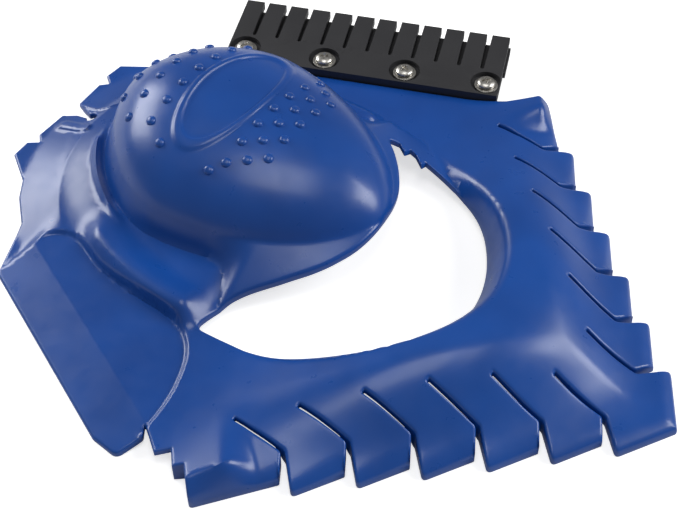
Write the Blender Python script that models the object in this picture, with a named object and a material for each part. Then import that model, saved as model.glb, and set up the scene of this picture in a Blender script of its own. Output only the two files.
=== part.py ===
"""Windshield ice scraper: a palm-grip body with two rows of flexible scraping fingers, a side blade and
ice teeth, and a toothed comb screwed to one flank over a straight blade strip.

Body frame, in millimetres: +X along the centre line from the grip to the corner finger, +Y towards the
comb, +Z up from the glass. The assembly empty puts the middle of the whole object's underside at the origin.
"""
import math

import bmesh
import bpy
import numpy as np
from mathutils import Matrix, Vector
from mathutils.geometry import delaunay_2d_cdt
from mathutils.kdtree import KDTree

MM = 0.001                      # every length below is in millimetres
FIT = 0.3                       # running gap between neighbouring pieces

# Body, overall
BODY_LENGTH = 275.0             # rear teeth to the corner finger's tip
WALL = 2.5                      # moulded wall
PLATEAU_Z = 6.4                 # flat shoulder around the grip
EDGE_Z = 1.3                    # thickness of every scraping edge
CORNER_X = BODY_LENGTH / 2      # tip of the corner finger
REAR_X = -BODY_LENGTH / 2       # tips of the rear ice teeth

# Rows of fingers, in row coordinates: s back along the row from the corner, n outward across it
ROW_ANGLE = math.radians(43.0)  # each row against the centre line
FINGER_PITCH = 21.6
FINGERS_PER_ROW = 6
TIP_S = 23.0                    # rear corner of the corner finger
TIP_N = 6.4                     # how far each finger's rear corner stands proud of the row line
HEEL_S = 26.2
HEEL_N = 1.2                    # front corner of the finger behind it
BEND_S = 23.9
BEND_N = -7.0                   # where each slot turns from the centre-line direction to the row's normal
ROOT_S = 38.6
ROOT_N = -20.8                  # inner ends of the slots
SLOT_WIDTH = 1.5
LAST_FINGER = 30.0              # the last finger is longer than the pitch
FINGER_Z = 4.6                  # top of each finger where its edge starts to curl down
CURL_RUN = 6.0
SOLID_TIP = 3.0                 # the fingers are solid from this far inside their bend outward
FLANGE_TIP = (156.6, 3.6)       # row coordinates of the comb-side row's end
LAST_TIP = (164.1, 5.9)         # and of the other row's

# Front arch between the hand hole and the fingers
ARCH_Z = 23.0
ARCH_START_X = -5.0
ARCH_CREST_X = 67.0

# Hand hole: a superellipse, with the grip's nose reaching over its rear side
HOLE_X = -10.0
HOLE_LENGTH = 65.5
HOLE_WIDTH = 60.0
HOLE_POWER = 1.8
HEM_Z = 6.0                     # height of the hole's rim
LIP_FRONT = 0.14                # share of the hole's radius that the inward slope takes at the front
LIP_SIDE = 0.03
CLEANER_Z = 2.8                 # rim of the small wiper-cleaning flange on the comb's side
CLEANER_SHARE = 0.86
CLEANER_TEETH = ((4.4, 46.8), (-0.6, 50.6), (-3.4, 51.0), (-3.7, 47.2), (-7.9, 50.2))
NOSE_RIM = ((-12.0, 48.0), (-6.0, 43.5), (1.0, 36.0), (7.5, 27.0), (11.0, 18.0), (12.6, 6.0), (11.0, -6.0),
            (4.8, -19.0), (-5.2, -31.0), (-13.4, -40.0), (-17.6, -46.0), (-19.2, -53.0), (-20.5, -61.0))

# Palm grip: a dome over a superellipse
GRIP_X, GRIP_Y = -60.0, 10.0
GRIP_REAR = 49.0
GRIP_FRONT = 74.0
GRIP_HALF_WIDTH = 46.9
GRIP_POWER = 1.75
GRIP_BASE_Z = 8.0
GRIP_TOP_Z = 43.0
GRIP_REAR_RISE = 4.0            # how much fuller the dome is behind its middle
GRIP_FULLNESS = 0.385
GRIP_FOOT = 0.972               # where the dome turns into its straight skirt
PANEL = (-58.4, 14.0)           # raised oval band on the dome, round a plain sunk panel
PANEL_HALF = (14.5, 33.0)

# Ridge that runs around the grip beyond the gutter, and a second, narrow one at the grip's rear foot
RIDGE_X = -33.0
RIDGE_LENGTH = 81.4
RIDGE_WIDTH = 58.0
RIDGE_Z = 12.5
GUTTER_Z = 10.0
NECK_RIDGE = 1.125
NECK_RIDGE_Z = 12.5

# Side blade opposite the comb, in a pocket behind a step
STEP_LINE = ((-96.0, -64.0), (-94.5, -57.0), (-89.3, -53.0), (-83.9, -51.9), (-76.0, -54.6), (-68.0, -57.9),
             (-59.2, -59.5), (-49.4, -60.3), (-35.8, -60.5), (-26.9, -61.6), (-21.1, -64.9), (-16.1, -69.5),
             (-11.9, -76.6), (-7.7, -89.9), (-6.6, -106.0))
POCKET_Z = 4.8
BLADE_CREASE = ((-95.5, -63.6), (-9.5, -100.8))
BLADE_SLOPE = 0.2
BLADE_CORNERS = ((-98.6, -80.6, 5.0), (-21.5, -114.3, 3.5), (-10.5, -115.3, 3.0), (-6.5, -105.5, 1.0),
                 (-9.5, -101.0, 0.4), (1.5, -109.0, 0.4), (5.5, -105.0, 0.4), (10.5, -110.5, 0.4),
                 (13.5, -108.0, 0.4))

# Rear ice teeth
REAR_HALF_WIDTH = 31.0
REAR_CREASE_RADIUS = 63.3
REAR_CREASE_X = -55.0
REAR_SLOPE = 0.3
KEYHOLE = (REAR_X + 12.5, -0.2)
KEYHOLE_RADIUS = 1.7

# Comb and blade strip, in comb coordinates: u along the teeth, v from the tips (0) to the front edge
COMB_CORNER = (-112.3, 89.1)    # left tooth's outer corner
COMB_ANGLE = math.radians(22.2)
COMB_PITCH = 9.7
COMB_TEETH = 12
TOOTH_WIDTH = 7.5
COMB_DEPTH = 36.8
COMB_Z = 6.3                    # underside of the comb
COMB_THICK = 3.4
TOOTH_DEPTH = 21.7
TOOTH_ROOT_GAP = 1.6
STRIP_THICK = 2.7
STRIP_SETBACK = 2.3             # strip's edge behind the comb's tips
STRIP_OVERHANG = 0.9            # strip's end past the comb's right end
LAND_THICK = 3.0
LAND_INSET = 3.0
LAND_DEPTH = 15.0
LAND_LAP = 4.5                  # how far the land runs on under the body

# Screws and washers
SCREWS = 4
SCREW_U = 7.0
SCREW_SPACING = 33.9
SCREW_V = -29.6
SHANK_RADIUS = 1.9
HEAD_RADIUS = 3.7
HEAD_HEIGHT = 2.2
RECESS = (4.4, 1.0, 1.5)        # arm length, arm width and depth of the cross recess
WASHER_RADIUS = 4.75
WASHER_THICK = 0.9
BORE_RADIUS = SHANK_RADIUS + FIT
POCKET_RADIUS = 6.45
POCKET_DEPTH = 2.3

# Mesh density
EDGE_STEP = 7.0                 # longest edge along an outline
ROW_STEP = 4.8                  # spacing of points along a crease
FIELD_STEP = 5.6
CLEARANCE = 1.3                 # field points stay this far from the outline and from each other

COMB_WIDTH = (COMB_TEETH - 1) * COMB_PITCH + TOOTH_WIDTH


# ---------------------------------------------------------------- small helpers
def smooth(t):
    """Smooth step from 0 to 1, for numbers and arrays."""
    t = np.clip(t, 0.0, 1.0)
    return t * t * (3.0 - 2.0 * t)


def mix(a, b, t):
    return a + (b - a) * t


def superellipse_level(x, y, rear, front, half_width, power):
    """1 on the curve, less inside it."""
    length = np.where(x > 0, front, rear)
    return (np.abs(x / length) ** power + np.abs(y / half_width) ** power) ** (1.0 / power)


def row_point(s, n, side):
    """Plan position of a point given in row coordinates; side is +1 for the comb's row."""
    x = CORNER_X - s * math.cos(ROW_ANGLE) + n * math.sin(ROW_ANGLE)
    y = s * math.sin(ROW_ANGLE) + n * math.cos(ROW_ANGLE)
    return (x, side * y)


def comb_point(u, v):
    """Plan position of a point given in comb coordinates."""
    along = Vector((math.cos(COMB_ANGLE), math.sin(COMB_ANGLE)))
    across = Vector((-along.y, along.x))
    return tuple(Vector(COMB_CORNER) + along * u + across * v)


def line_distance(x, y, start, end):
    """Distance to the left of the line from start to end."""
    dx, dy = end[0] - start[0], end[1] - start[1]
    return ((y - start[1]) * dx - (x - start[0]) * dy) / math.hypot(dx, dy)


# ---------------------------------------------------------------- the body's outer surface
def hole_level(x, y):
    return superellipse_level(x - HOLE_X, y, HOLE_LENGTH, HOLE_LENGTH, HOLE_WIDTH, HOLE_POWER)


def grip_level(x, y):
    return superellipse_level(x - GRIP_X, y - GRIP_Y, GRIP_REAR, GRIP_FRONT, GRIP_HALF_WIDTH, GRIP_POWER)


def ridge_level(x, y):
    return superellipse_level(x - RIDGE_X, y, RIDGE_LENGTH, RIDGE_LENGTH, RIDGE_WIDTH, 2.0)


def line_reach(x, y, line):
    """Signed distance to an open line of points: positive on its right-hand side."""
    best, sign = np.full(np.shape(x), 1e9), np.ones(np.shape(x))
    for (ax, ay), (bx, by) in zip(line, line[1:]):
        dx, dy = bx - ax, by - ay
        t = np.clip(((x - ax) * dx + (y - ay) * dy) / (dx * dx + dy * dy), 0.0, 1.0)
        away = np.hypot(x - ax - t * dx, y - ay - t * dy)
        side = np.where((x - ax) * dy - (y - ay) * dx > 0, 1.0, -1.0)
        closer = away < best - 1e-9
        best, sign = np.where(closer, away, best), np.where(closer, side, sign)
    return best * sign


def cleaner_share(x, y):
    """How far the hole's comb-side rim reaches inward, as the small wiper-cleaning flange."""
    return np.where(y > 0, mix(1.0, CLEANER_SHARE, smooth((42.0 - x) / 45.0)), 1.0)


def ring_height(x, y):
    ahead = x - CORNER_X
    n = ahead * math.sin(ROW_ANGLE) + np.abs(y) * math.cos(ROW_ANGLE)
    s = -ahead * math.cos(ROW_ANGLE) + np.abs(y) * math.sin(ROW_ANGLE)
    # each finger's scraping edge runs askew from its heel to its tip
    k = np.clip(np.floor((s - HEEL_S) / FINGER_PITCH), 0, FINGERS_PER_ROW - 1)
    length = np.where(k < FINGERS_PER_ROW - 1, FINGER_PITCH + TIP_S - HEEL_S, LAST_FINGER)
    along = np.where(s < TIP_S, s / TIP_S, np.clip((s - HEEL_S - k * FINGER_PITCH) / length, 0.0, 1.0))
    heel = np.where(s < TIP_S, 0.0, HEEL_N)
    edge = heel + (TIP_N - heel) * along
    curl = np.clip((edge - n) / CURL_RUN, 0.0, 1.0)
    tip = mix(EDGE_Z, FINGER_Z, np.sqrt(1.0 - (1.0 - curl) ** 2))
    arch = PLATEAU_Z + (ARCH_Z - PLATEAU_Z) * smooth((x - ARCH_START_X) / (ARCH_CREST_X - ARCH_START_X))
    across = 1.0 - smooth((n + 32.0) / 38.0)
    ahead_fall = 1.0 - smooth((x - 72.0) / 60.0)
    flat_end = smooth((s - 140.0) / 12.0)
    z = tip + (arch - FINGER_Z) * mix(across * ahead_fall, curl, flat_end)
    forward = np.clip((x - HOLE_X) / np.maximum(np.hypot(x - HOLE_X, y), 1.0), 0.0, 1.0)
    rim = cleaner_share(x, y)
    lip = 1.01 + mix(LIP_SIDE, LIP_FRONT, forward ** 4)
    inward = np.clip((hole_level(x, y) - rim) / (lip - rim), 0.0, 1.0)
    hem = np.where(y > 0, mix(HEM_Z, CLEANER_Z, (1.0 - rim) / (1.0 - CLEANER_SHARE)), HEM_Z)
    return mix(np.minimum(hem, z), z, np.sin(inward * math.pi / 2))


def skin_height(x, y):
    """Height of the moulding's outer surface above the glass."""
    z = ring_height(x, y)
    # bevelled rear edge
    past_crease = np.hypot(x - REAR_CREASE_X, y) - REAR_CREASE_RADIUS
    behind = smooth((REAR_CREASE_X - 35.0 - x) / 10.0)
    z = mix(z, np.maximum(EDGE_Z, PLATEAU_Z - REAR_SLOPE * np.maximum(past_crease, 0.0)), behind)
    # ridge, with the gutter between it and the grip
    level = ridge_level(x, y)
    flank = mix(PLATEAU_Z, RIDGE_Z, smooth((1.13 - level) / 0.13))
    trough = mix(GUTTER_Z, RIDGE_Z, smooth((level - 0.80) / 0.20))
    crest = np.where(level > 1.0, flank, trough)
    along = smooth((x + 100.0) / 26.0) * (1.0 - smooth((x + 29.0) / 11.0))
    inside_ridge = level < 1.13
    z = mix(z, np.maximum(crest, z), along * inside_ridge)
    back = (1.0 - smooth((x + 88.0) / 16.0)) * inside_ridge
    z = mix(z, mix(PLATEAU_Z, GUTTER_Z, smooth((1.13 - level) / 0.25)), back)
    # side blade's pocket
    pocket = line_reach(x, y, STEP_LINE)
    blade = POCKET_Z - BLADE_SLOPE * np.maximum(line_distance(x, y, BLADE_CREASE[1], BLADE_CREASE[0]), 0.0)
    z = mix(z, np.maximum(EDGE_Z, blade), smooth((pocket + 0.4) / 1.8) * (y < -45.0) * (x < 0.0))
    # palm grip, with a narrow second ridge around its rear foot
    grip = grip_level(x, y)
    bead = np.clip(1.0 - np.abs(grip - NECK_RIDGE) / 0.055, 0.0, 1.0)
    beside = (1.0 - smooth((x + 88.0) / 20.0)) * smooth((x + 112.0) / 6.0) * (y < 0)
    z = z + (NECK_RIDGE_Z - GUTTER_Z) * smooth(bead) * beside
    height = GRIP_TOP_Z - GRIP_BASE_Z + GRIP_REAR_RISE * smooth((GRIP_X + 12.0 - x) / 50.0)
    cap = GRIP_BASE_Z + height * np.clip(1.0 - grip ** 2, 0.0, 1.0) ** GRIP_FULLNESS
    knee = GRIP_BASE_Z + height * (1.0 - GRIP_FOOT ** 2) ** GRIP_FULLNESS
    fall = knee - (grip - GRIP_FOOT) * GRIP_HALF_WIDTH * 2.6
    cap = np.where(grip < GRIP_FOOT, cap, fall)
    nose = smooth((x + 40.0) / 22.0) * (hole_level(x, y) < 1.03)
    cheek = knee - (grip - GRIP_FOOT) * GRIP_HALF_WIDTH * 0.62
    cap = np.where(grip < GRIP_FOOT, cap, mix(fall, np.maximum(cheek, HEM_Z), nose))
    return np.maximum(z, cap)


def panel_level(x, y):
    return np.hypot((x - PANEL[0]) / PANEL_HALF[0], (y - PANEL[1]) / PANEL_HALF[1])


def panel_relief(x, y):
    """A raised oval band on top of the grip, with a plain sunk panel inside it."""
    level = panel_level(x, y)
    band = 0.7 * smooth((1.0 - level) / 0.07)
    return band - 1.1 * smooth((0.86 - level) / 0.07)


def underside_height(x, y):
    """One wall below the outer surface, measured square to it, and never below the glass."""
    low = skin_height(x, y) - WALL
    for reach in (0.5 * WALL, 0.9 * WALL):
        drop = math.sqrt(WALL ** 2 - reach ** 2)
        for i in range(12):
            a = math.pi * i / 6
            low = np.minimum(low, skin_height(x + reach * math.cos(a), y + reach * math.sin(a)) - drop)
    n = (x - CORNER_X) * math.sin(ROW_ANGLE) + np.abs(y) * math.cos(ROW_ANGLE)
    solid_tip = smooth((n - BEND_N + SOLID_TIP) / SOLID_TIP)
    return np.maximum(low * (1.0 - solid_tip), 0.0)


# ---------------------------------------------------------------- outlines, as corners with their radii
def row_corners(side, last_tip):
    half = SLOT_WIDTH / 2
    corners = []
    for k in range(FINGERS_PER_ROW):
        s = k * FINGER_PITCH
        slot = [(TIP_S, TIP_N, 1.6), (BEND_S - half, BEND_N, 2.0), (ROOT_S - half * 0.7, ROOT_N - half * 0.7, 0.4),
                (ROOT_S + half * 0.7, ROOT_N + half * 0.7, 0.4), (BEND_S + half, BEND_N, 2.0),
                (HEEL_S, HEEL_N, 0.8)]
        corners += [(*row_point(s + ds, n, side), r) for ds, n, r in slot]
    return corners + [(*last_tip, 1.5)]


def rear_corners():
    w = REAR_HALF_WIDTH
    flank = [(29.0, 26.5, 2.0), (18.5, 17.0, 6.0), (12.9, 9.1, 0.6), (0.5, 1.0, 0.8)]
    corners = [(REAR_X + dx, w + dy, r) for dx, dy, r in flank]
    teeth = [(0.0, w - 7.0, 0.6), (4.0, w - 10.0, 0.4), (1.0, w - 13.0, 0.6)]
    corners += [(REAR_X + dx, y, r) for dx, y, r in teeth]
    corners += [(REAR_X + 2.0, KEYHOLE[1] + 5.5, 1.5)]
    for i in range(9):
        a = mix(0.85 * math.pi, -0.85 * math.pi, i / 8)
        corners.append((KEYHOLE[0] + KEYHOLE_RADIUS * math.cos(a), KEYHOLE[1] + KEYHOLE_RADIUS * math.sin(a), 0))
    corners += [(REAR_X + 7.5, KEYHOLE[1] - 0.8, 0.5), (REAR_X + 1.0, KEYHOLE[1] - 3.0, 1.5)]
    corners += [(REAR_X + dx, -y, r) for dx, y, r in reversed(teeth)]
    return corners + [(REAR_X + dx, -w - dy, r) for dx, dy, r in reversed(flank)]


def body_corners():
    flange_tip = row_point(*FLANGE_TIP, 1)
    last_finger = row_point(*LAST_TIP, -1)
    comb_line = [(*comb_point(COMB_WIDTH + 4.0, -COMB_DEPTH - FIT), 1.0),
                 (*comb_point(-2.0, -COMB_DEPTH - FIT), 1.0)]
    corners = [(CORNER_X, 0.0, 1.5)] + row_corners(1, flange_tip) + comb_line + rear_corners() + list(BLADE_CORNERS)
    return corners + list(reversed(row_corners(-1, last_finger)))


def hole_line():
    start, end = -math.atan2(61.0, 10.5), math.atan2(51.4, 14.7)
    front = []
    for i in range(49):
        a = mix(start, end, i / 48)
        dx, dy = math.cos(a), math.sin(a)
        reach = 1.0 / float(superellipse_level(dx, dy, HOLE_LENGTH, HOLE_LENGTH, HOLE_WIDTH, HOLE_POWER))
        reach *= float(cleaner_share(HOLE_X + reach * dx, dy))
        front.append((HOLE_X + reach * dx, reach * dy, 0))
    teeth = [(x, y, 0.3) for x, y in CLEANER_TEETH]
    return front + teeth + [(x, y, 6.0) for x, y in NOSE_RIM]


def rounded(corners):
    """Replaces each corner that has a radius by a short curve, or by a small flat if it is tight."""
    points = []
    for i, (x, y, radius) in enumerate(corners):
        a, b, c = (Vector(corners[j % len(corners)][:2]) for j in (i - 1, i, i + 1))
        to_a, to_c = (a - b).normalized(), (c - b).normalized()
        half = to_a.angle(to_c, math.pi) / 2
        if radius == 0 or half > 0.48 * math.pi:
            points.append(b)
            continue
        reach = min(radius / math.tan(half), (a - b).length * 0.45, (c - b).length * 0.45)
        steps = 1 if radius < 1.0 else 2 if radius < 3.0 else 4
        for k in range(steps + 1):
            t = k / steps
            points.append((b + to_a * reach) * (1 - t) ** 2 + b * 2 * t * (1 - t) + (b + to_c * reach) * t ** 2)
    return points


def walked(points, step):
    """The same closed line with no edge longer than step."""
    line = []
    for a, b in zip(points, points[1:] + points[:1]):
        if (b - a).length < 0.02:
            continue
        count = max(1, math.ceil((b - a).length / step))
        line += [a.lerp(b, i / count) for i in range(count)]
    return np.array([tuple(p) for p in line])


# ---------------------------------------------------------------- mesh helpers
def new_object(name, bm):
    bmesh.ops.recalc_face_normals(bm, faces=bm.faces)
    mesh = bpy.data.meshes.new(name)
    bm.to_mesh(mesh)
    bm.free()
    obj = bpy.data.objects.new(name, mesh)
    bpy.context.scene.collection.objects.link(obj)
    return obj


def prism(name, outline, low, high):
    """Closed prism over a plan outline; low and high in millimetres."""
    bm = bmesh.new()
    base = [bm.verts.new((x * MM, y * MM, low * MM)) for x, y in outline]
    face = bm.faces.new(base)
    out = bmesh.ops.extrude_face_region(bm, geom=[face])
    moved = [v for v in out["geom"] if isinstance(v, bmesh.types.BMVert)]
    bmesh.ops.translate(bm, verts=moved, vec=(0, 0, (high - low) * MM))
    return new_object(name, bm)


def cylinder(name, centre, radius, low, high, segments=24):
    bm = bmesh.new()
    place = Matrix.Translation(((centre[0]) * MM, centre[1] * MM, (low + high) / 2 * MM))
    bmesh.ops.create_cone(bm, cap_ends=True, segments=segments, radius1=radius * MM, radius2=radius * MM,
                          depth=(high - low) * MM, matrix=place)
    return new_object(name, bm)


def bar(name, u_from, u_to, profile):
    """Straight bar along the comb; profile is its section as (v, z)."""
    bm = bmesh.new()
    ends = []
    for u in (u_from, u_to):
        ends.append([bm.verts.new((*(Vector(comb_point(u, v)) * MM), z * MM)) for v, z in profile])
    bm.faces.new(ends[0])
    bm.faces.new(list(reversed(ends[1])))
    for i in range(len(profile)):
        j = (i + 1) % len(profile)
        bm.faces.new((ends[0][j], ends[0][i], ends[1][i], ends[1][j]))
    return new_object(name, bm)


def turned(name, centre, profile, segments=24):
    """Closed solid of revolution; profile runs up the outside as (radius, z) from axis to axis."""
    bm = bmesh.new()
    rings = []
    for radius, z in profile:
        if radius == 0:
            rings.append([bm.verts.new((centre[0] * MM, centre[1] * MM, z * MM))])
            continue
        ring = []
        for i in range(segments):
            a = 2 * math.pi * i / segments
            ring.append(bm.verts.new(((centre[0] + radius * math.cos(a)) * MM,
                                      (centre[1] + radius * math.sin(a)) * MM, z * MM)))
        rings.append(ring)
    for lower, upper in zip(rings, rings[1:]):
        for i in range(segments):
            j = (i + 1) % segments
            quad = [lower[i % len(lower)], lower[j % len(lower)], upper[j % len(upper)], upper[i % len(upper)]]
            bm.faces.new(list(dict.fromkeys(quad)))
    return new_object(name, bm)


def apply_boolean(obj, operation, others):
    """Cut, join or intersect obj with the others, which are then removed."""
    for other in others:
        mod = obj.modifiers.new("cut", "BOOLEAN")
        mod.operation = operation
        mod.solver = "EXACT"
        mod.object = other
        depsgraph = bpy.context.evaluated_depsgraph_get()
        result = bpy.data.meshes.new_from_object(obj.evaluated_get(depsgraph))
        obj.modifiers.clear()
        old = obj.data
        obj.data = result
        bpy.data.meshes.remove(old)
        bpy.data.objects.remove(other)
    return obj


def finish(obj, material, sharp_angle=35.0):
    obj.data.materials.clear()
    obj.data.materials.append(material)
    obj.data.shade_smooth()
    obj.data.set_sharp_from_angle(angle=math.radians(sharp_angle))
    return obj


def make_material(name, colour, roughness, metallic=0.0):
    material = bpy.data.materials.new(name)
    material.use_nodes = True
    shader = material.node_tree.nodes["Principled BSDF"]
    shader.inputs["Base Color"].default_value = (*colour, 1.0)
    shader.inputs["Roughness"].default_value = roughness
    shader.inputs["Metallic"].default_value = metallic
    material.diffuse_color = (*colour, 1.0)
    return material


# ---------------------------------------------------------------- body
def inside(line, x, y):
    """Whether each point lies in the closed line, by counting crossings."""
    result = np.zeros(x.shape, dtype=bool)
    for (x0, y0), (x1, y1) in zip(line, np.roll(line, -1, axis=0)):
        if y0 != y1:
            result ^= ((y0 > y) != (y1 > y)) & (x < (x1 - x0) * (y - y0) / (y1 - y0) + x0)
    return result


def distance_to(placed, points):
    """Distance from each point to the nearest of those already placed."""
    tree = KDTree(len(placed))
    for i, p in enumerate(placed):
        tree.insert((p[0], p[1], 0.0), i)
    tree.balance()
    return np.array([tree.find((p[0], p[1], 0.0))[2] for p in points])


def level_row(centre, rear, front, half_width, power, level):
    """Closed row of points where a superellipse has the level given."""
    count = int(2 * math.pi * half_width * level / ROW_STEP) + 12
    angles = np.linspace(0.0, 2 * math.pi, count, endpoint=False)
    dx, dy = np.cos(angles), np.sin(angles)
    reach = level / superellipse_level(dx, dy, rear, front, half_width, power)
    return np.stack([centre[0] + reach * dx, centre[1] + reach * dy], axis=1)


def line_row(line, offset):
    """Row of points beside an open line."""
    row = []
    for a, b in zip(line, line[1:]):
        a, b = Vector(a), Vector(b)
        along = (b - a).normalized()
        side = Vector((along.y, -along.x)) * offset
        count = max(1, round((b - a).length / ROW_STEP))
        row += [tuple(a.lerp(b, i / count) + side) for i in range(count)]
    return np.array(row)


def curl_rows():
    """Points across each finger's edge, where its top curls down."""
    row = []
    for side in (1, -1):
        for k in range(FINGERS_PER_ROW + 1):
            start, end = (0.0, 0.0), (TIP_S, TIP_N)
            if k:
                start = (HEEL_S + (k - 1) * FINGER_PITCH, HEEL_N)
                end = (TIP_S + k * FINGER_PITCH, TIP_N)
            for back in (0.35, 1.6, 3.4, CURL_RUN):
                for share in (0.1, 0.36, 0.62, 0.88):
                    row.append(row_point(mix(start[0], end[0], share), mix(start[1], end[1], share) - back, side))
    return np.array(row)


def hole_rows(line):
    """Points beside the hand hole's rim, where the lip rolls over."""
    ahead, behind = np.roll(line, -1, axis=0), np.roll(line, 1, axis=0)
    tangent = ahead - behind
    tangent /= np.maximum(np.linalg.norm(tangent, axis=1), 1e-6)[:, None]
    outward = np.stack([tangent[:, 1], -tangent[:, 0]], axis=1)
    return [line + outward * reach for reach in (1.6, 4.0, 7.5)]


def plan_rows(hole):
    grip = (GRIP_REAR, GRIP_FRONT, GRIP_HALF_WIDTH, GRIP_POWER)
    rows = [curl_rows()]
    rows += [level_row((GRIP_X, GRIP_Y), *grip, level)
             for level in (GRIP_FOOT, 0.93, 1.03, NECK_RIDGE - 0.055, NECK_RIDGE, NECK_RIDGE + 0.055)]
    rows += [line_row(STEP_LINE, offset) for offset in (-0.4, 1.4)]
    rows += [level_row((RIDGE_X, 0.0), RIDGE_LENGTH, RIDGE_LENGTH, RIDGE_WIDTH, 2.0, level)
             for level in (1.0, 1.13, 0.80, 1.06, 0.90)]
    rows += [level_row(PANEL, PANEL_HALF[0], PANEL_HALF[0], PANEL_HALF[1], 2.0, level)
             for level in (0.86, 1.0, 0.93, 0.79)]
    rows += [line_row(BLADE_CREASE, 0.0)]
    rows += [line_row([(REAR_CREASE_X + REAR_CREASE_RADIUS * math.cos(a), REAR_CREASE_RADIUS * math.sin(a))
                       for a in np.linspace(0.65 * math.pi, 1.35 * math.pi, 24)], 0.0)]
    return rows + hole_rows(hole)


def plan_points(outer, hole):
    """Points of the plan: both outlines, then each crease, then an even field over the rest."""
    xs = np.arange(REAR_X, CORNER_X, FIELD_STEP)
    ys = np.arange(REAR_X, CORNER_X, FIELD_STEP * math.sqrt(3) / 2)
    field_x, field_y = np.meshgrid(xs, ys)
    field_x = field_x + (np.arange(len(ys)) % 2)[:, None] * FIELD_STEP / 2
    field = np.stack([field_x.ravel(), field_y.ravel()], axis=1)
    edges = np.concatenate([walked([Vector(p) for p in line], 1.0) for line in (outer, hole)])
    placed = np.concatenate([outer, hole])
    for row, gap in [(row, CLEARANCE) for row in plan_rows(hole)] + [(field, FIELD_STEP * 0.62)]:
        row = row[inside(outer, row[:, 0], row[:, 1]) & ~inside(hole, row[:, 0], row[:, 1])]
        row = row[distance_to(edges, row) > min(CLEARANCE, gap)]
        placed = np.concatenate([placed, row[distance_to(placed, row) > gap]])
    return placed


def body_sheet():
    """Closed shell between the outer and inner surfaces over the plan."""
    outer = walked(rounded(body_corners()), EDGE_STEP)
    hole = walked(rounded(hole_line()), EDGE_STEP)
    points = plan_points(outer, hole)
    edges = []
    for start, count in ((0, len(outer)), (len(outer), len(hole))):
        edges += [(start + i, start + (i + 1) % count) for i in range(count)]
    found = delaunay_2d_cdt([Vector(p) for p in points], edges, [], 0, 1e-5)
    plan = np.array([tuple(v) for v in found[0]])
    faces = np.array([f for f in found[2] if len(f) == 3])
    middle = plan[faces].mean(axis=1)
    faces = faces[inside(outer, middle[:, 0], middle[:, 1]) & ~inside(hole, middle[:, 0], middle[:, 1])]
    x, y = plan[:, 0], plan[:, 1]
    high = skin_height(x, y) + panel_relief(x, y)
    low = np.minimum(underside_height(x, y), high - 0.4 * EDGE_Z)
    bm = bmesh.new()
    top = [bm.verts.new((px * MM, py * MM, pz * MM)) for px, py, pz in zip(x, y, high)]
    base = [bm.verts.new((px * MM, py * MM, pz * MM)) for px, py, pz in zip(x, y, low)]
    for a, b, c in faces:
        bm.faces.new((top[a], top[b], top[c]))
        bm.faces.new((base[c], base[b], base[a]))
    number = {v: i for i, v in enumerate(top)}
    rim = [e for e in bm.edges if len(e.link_faces) == 1 and e.verts[0] in number]
    for edge in rim:
        a, b = (number[v] for v in edge.verts)
        bm.faces.new((top[a], top[b], base[b], base[a]))
    bmesh.ops.delete(bm, geom=[v for v in bm.verts if not v.link_faces], context="VERTS")
    return new_object("scraper_body", bm)


def screw_places():
    return [comb_point(SCREW_U + k * SCREW_SPACING, SCREW_V) for k in range(SCREWS)]


def make_body(material):
    body = body_sheet()
    left, right = LAND_INSET, COMB_WIDTH - LAND_INSET
    front = -COMB_DEPTH - LAND_LAP
    back = -COMB_DEPTH + LAND_DEPTH
    step = -COMB_DEPTH - FIT
    flange = PLATEAU_Z - WALL / 2
    section = [(front, 0.0), (back, 0.0), (back, LAND_THICK), (step, LAND_THICK), (step, flange), (front, flange)]
    bores = [cylinder("bore", place, BORE_RADIUS, -1.0, LAND_THICK + 1.0, 16) for place in screw_places()]
    land = apply_boolean(bar("land", left, right, section), "DIFFERENCE", bores)
    return finish(apply_boolean(body, "UNION", [land]), material)


# ---------------------------------------------------------------- comb, strip and fasteners
def comb_outline():
    """Toothed rear edge with round-ended slots, straight front edge."""
    points = [(0.0, -COMB_DEPTH), (COMB_WIDTH, -COMB_DEPTH)]
    root = TOOTH_ROOT_GAP / 2
    for k in reversed(range(COMB_TEETH)):
        start = k * COMB_PITCH
        points += [(start + TOOTH_WIDTH, 0.0), (start, 0.0)]
        if k:
            middle = start - (COMB_PITCH - TOOTH_WIDTH) / 2
            for i in range(7):
                a = math.pi * i / 6
                points.append((middle + root * math.cos(a), -TOOTH_DEPTH + root - root * math.sin(a)))
    return [comb_point(u, v) for u, v in points]


def make_comb(material):
    top = COMB_Z + COMB_THICK
    comb = prism("ice_comb", comb_outline(), COMB_Z, top)
    cutters = []
    for place in screw_places():
        cutters.append(cylinder("pocket", place, POCKET_RADIUS, top - POCKET_DEPTH, top + 2.0, 28))
        cutters.append(cylinder("bore", place, BORE_RADIUS, COMB_Z - 1.0, top + 1.0, 16))
    apply_boolean(comb, "DIFFERENCE", cutters)
    return finish(comb, material)


def make_strip(material):
    top = COMB_Z - FIT
    step = -COMB_DEPTH / 2
    outline = [(0.0, -COMB_DEPTH), (COMB_WIDTH, -COMB_DEPTH), (COMB_WIDTH, step),
               (COMB_WIDTH + STRIP_OVERHANG, step), (COMB_WIDTH + STRIP_OVERHANG, -STRIP_SETBACK),
               (0.0, -STRIP_SETBACK)]
    strip = prism("blade_strip", [comb_point(u, v) for u, v in outline], top - STRIP_THICK, top)
    bores = [cylinder("bore", place, BORE_RADIUS, top - STRIP_THICK - 1.0, top + 1.0, 16)
             for place in screw_places()]
    apply_boolean(strip, "DIFFERENCE", bores)
    return finish(strip, material)


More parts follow.
